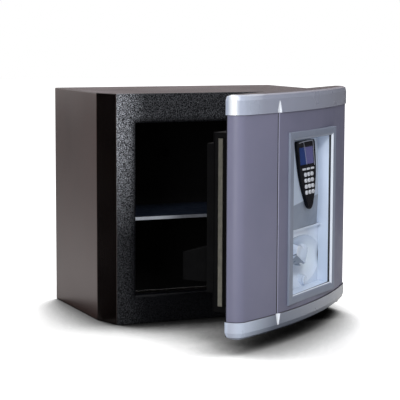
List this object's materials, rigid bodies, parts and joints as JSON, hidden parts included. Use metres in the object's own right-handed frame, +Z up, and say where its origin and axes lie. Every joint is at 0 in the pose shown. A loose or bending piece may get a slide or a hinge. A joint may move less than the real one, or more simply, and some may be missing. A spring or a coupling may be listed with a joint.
{
  "type": "electronic home safe",
  "caption": "Cabinet safe with a tapered front, a shelf, and a bowed door with a recessed keypad, a lever handle and a sliding lock bar, shown part open.",
  "frame": {"origin": "middle of the cabinet's base, on the plane it stands on", "axes": "+X to the right as seen from the door side, +Y from the door side to the cabinet's back, +Z up"},
  "size_m": [0.4693, 0.6194, 0.43],
  "materials": {
    "satin_black": "satin",
    "hammered_black": "hammered",
    "inner_black": "matt",
    "door_grey": "satin",
    "cap_silver": "metallic satin",
    "bezel_grey": "satin",
    "recess_white": "gloss",
    "housing_grey": "satin",
    "gloss_black": "gloss",
    "key_silver": "satin",
    "screen_blue": "gloss",
    "zinc_steel": "zinc plated",
    "shelf_paint": "satin",
    "board_green": "matt",
    "black_plastic": "satin",
    "brass": "bright"
  },
  "bodies": {
    "cabinet": {"cabinet_shell": "satin_black", "back_panel": "inner_black", "front_frame": "hammered_black", "shelf": "shelf_paint", "shelf_bracket_left": "inner_black", "shelf_bracket_right": "inner_black", "hinge_bracket_lower": "satin_black", "hinge_bracket_upper": "satin_black", "hinge_pin_lower": "zinc_steel", "hinge_pin_upper": "zinc_steel", "anchor_plug_lower": "black_plastic", "anchor_plug_upper": "black_plastic"},
    "door": {"door_plate": "satin_black", "hinge_block_lower": "brass", "hinge_block_upper": "brass", "lock_box": "satin_black", "dead_bar": "zinc_steel", "mechanism_cover": "satin_black", "bar_guide_lower": "zinc_steel", "bar_guide_upper": "zinc_steel", "solenoid_body": "zinc_steel", "battery_box": "black_plastic", "door_skin_left": "door_grey", "door_skin_right": "door_grey", "seam_strip": "gloss_black", "door_cap_top": "cap_silver", "door_cap_bottom": "cap_silver", "window_bezel": "bezel_grey", "recess_liner": "recess_white", "keypad_housing": "housing_grey", "keypad_body": "gloss_black", "screen": "screen_blue", "keypad_board": "board_green", "spindle_bush": "brass", "lock_cylinder": "recess_white"},
    "handle_set": {"handle": "recess_white", "spindle": "zinc_steel", "drive_disc": "zinc_steel"},
    "bar": {"locking_bar": "zinc_steel"},
    "plunger": {"solenoid_plunger": "zinc_steel"},
    "plug": {"lock_plug": "recess_white"},
    "lid": {"battery_cover": "black_plastic"},
    "key_1_body": {"key_1": "key_silver"},
    "key_2_body": {"key_2": "key_silver"},
    "key_3_body": {"key_3": "key_silver"},
    "key_4_body": {"key_4": "key_silver"},
    "key_5_body": {"key_5": "key_silver"},
    "key_6_body": {"key_6": "key_silver"},
    "key_7_body": {"key_7": "key_silver"},
    "key_8_body": {"key_8": "key_silver"},
    "key_9_body": {"key_9": "key_silver"},
    "key_star_body": {"key_star": "key_silver"},
    "key_0_body": {"key_0": "key_silver"},
    "key_hash_body": {"key_hash": "key_silver"},
    "function_key_left_body": {"function_key_left": "key_silver"},
    "function_key_middle_body": {"function_key_middle": "key_silver"},
    "function_key_right_body": {"function_key_right": "key_silver"}
  },
  "joints": [
    {"name": "door_swing", "type": "hinge", "parent": "cabinet", "child": "door", "pos_m": [0.2226, -0.1646, 0.2], "axis": [0, 0, 1], "range_deg": [-39.7, 60.3]},
    {"name": "handle_turn", "type": "hinge", "parent": "door", "child": "handle_set", "pos_m": [0.06558, -0.32082, 0.134], "axis": [0.6388, -0.7694, 0], "range_deg": [0, 75]},
    {"name": "bar_slide", "type": "slide", "parent": "door", "child": "bar", "axis": [-0.7694, -0.6388, 0], "range_m": [0, 0.02]},
    {"name": "plunger_drop", "type": "slide", "parent": "door", "child": "plunger", "axis": [0, 0, -1], "range_m": [0, 0.005]},
    {"name": "plug_turn", "type": "hinge", "parent": "door", "child": "plug", "pos_m": [0.08251, -0.30677, 0.0885], "axis": [0.6388, -0.7694, 0], "range_deg": [0, 90]},
    {"name": "lid_slide", "type": "slide", "parent": "door", "child": "lid", "axis": [-0.7694, -0.6388, 0], "range_m": [0, 0.055]},
    {"name": "key_1_press", "type": "slide", "parent": "door", "child": "key_1_body", "axis": [-0.6363, 0.7665, -0.0872], "range_m": [0, 0.001], "stiffness_N_per_m": 300},
    {"name": "key_2_press", "type": "slide", "parent": "door", "child": "key_2_body", "axis": [-0.6363, 0.7665, -0.0872], "range_m": [0, 0.001], "stiffness_N_per_m": 300},
    {"name": "key_3_press", "type": "slide", "parent": "door", "child": "key_3_body", "axis": [-0.6363, 0.7665, -0.0872], "range_m": [0, 0.001], "stiffness_N_per_m": 300},
    {"name": "key_4_press", "type": "slide", "parent": "door", "child": "key_4_body", "axis": [-0.6363, 0.7665, -0.0872], "range_m": [0, 0.001], "stiffness_N_per_m": 300},
    {"name": "key_5_press", "type": "slide", "parent": "door", "child": "key_5_body", "axis": [-0.6363, 0.7665, -0.0872], "range_m": [0, 0.001], "stiffness_N_per_m": 300},
    {"name": "key_6_press", "type": "slide", "parent": "door", "child": "key_6_body", "axis": [-0.6363, 0.7665, -0.0872], "range_m": [0, 0.001], "stiffness_N_per_m": 300},
    {"name": "key_7_press", "type": "slide", "parent": "door", "child": "key_7_body", "axis": [-0.6363, 0.7665, -0.0872], "range_m": [0, 0.001], "stiffness_N_per_m": 300},
    {"name": "key_8_press", "type": "slide", "parent": "door", "child": "key_8_body", "axis": [-0.6363, 0.7665, -0.0872], "range_m": [0, 0.001], "stiffness_N_per_m": 300},
    {"name": "key_9_press", "type": "slide", "parent": "door", "child": "key_9_body", "axis": [-0.6363, 0.7665, -0.0872], "range_m": [0, 0.001], "stiffness_N_per_m": 300},
    {"name": "key_star_press", "type": "slide", "parent": "door", "child": "key_star_body", "axis": [-0.6363, 0.7665, -0.0872], "range_m": [0, 0.001], "stiffness_N_per_m": 300},
    {"name": "key_0_press", "type": "slide", "parent": "door", "child": "key_0_body", "axis": [-0.6363, 0.7665, -0.0872], "range_m": [0, 0.001], "stiffness_N_per_m": 300},
    {"name": "key_hash_press", "type": "slide", "parent": "door", "child": "key_hash_body", "axis": [-0.6363, 0.7665, -0.0872], "range_m": [0, 0.001], "stiffness_N_per_m": 300},
    {"name": "function_key_left_press", "type": "slide", "parent": "door", "child": "function_key_left_body", "axis": [-0.6363, 0.7665, -0.0872], "range_m": [0, 0.001], "stiffness_N_per_m": 300},
    {"name": "function_key_middle_press", "type": "slide", "parent": "door", "child": "function_key_middle_body", "axis": [-0.6363, 0.7665, -0.0872], "range_m": [0, 0.001], "stiffness_N_per_m": 300},
    {"name": "function_key_right_press", "type": "slide", "parent": "door", "child": "function_key_right_body", "axis": [-0.6363, 0.7665, -0.0872], "range_m": [0, 0.001], "stiffness_N_per_m": 300}
  ],
  "couplings": [
    {"joint": "handle_turn", "follows": "bar_slide", "rad_per_m": 65.45},
    {"joint": "plunger_drop", "follows": "bar_slide", "ratio": 0.25}
  ]
}
